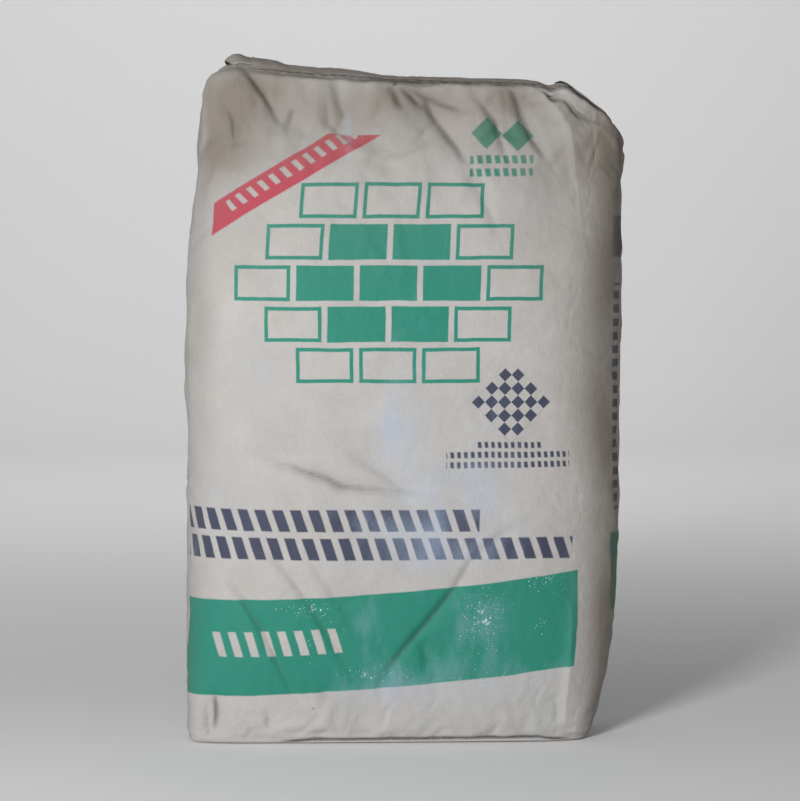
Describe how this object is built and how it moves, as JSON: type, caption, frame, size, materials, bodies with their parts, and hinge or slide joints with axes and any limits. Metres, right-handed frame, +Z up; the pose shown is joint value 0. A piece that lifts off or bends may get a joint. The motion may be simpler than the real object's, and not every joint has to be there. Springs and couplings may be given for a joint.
{
  "type": "cement bag",
  "caption": "Full block-bottom paper valve sack of cement, standing upright, with pasted end covers and a flattened valve sleeve at one top corner.",
  "frame": {"origin": "middle of the sack's box at floor level, under its block bottom", "axes": "+Z up along the sack's length, -Y out of its printed front, +X to the right as seen from the front"},
  "size_m": [0.4042, 0.1662, 0.6346],
  "materials": {
    "kraft_paper": "unbleached sack kraft, printed in green, red and navy, dusted with cement",
    "cover_paper": "plain brown sack kraft, matt",
    "sleeve_paper": "plain brown sack kraft, creased"
  },
  "bodies": {
    "root": {"sack_body": "kraft_paper", "top_cover_patch": "cover_paper", "bottom_cover_patch": "cover_paper", "valve_sleeve": "sleeve_paper"}
  },
  "joints": []
}
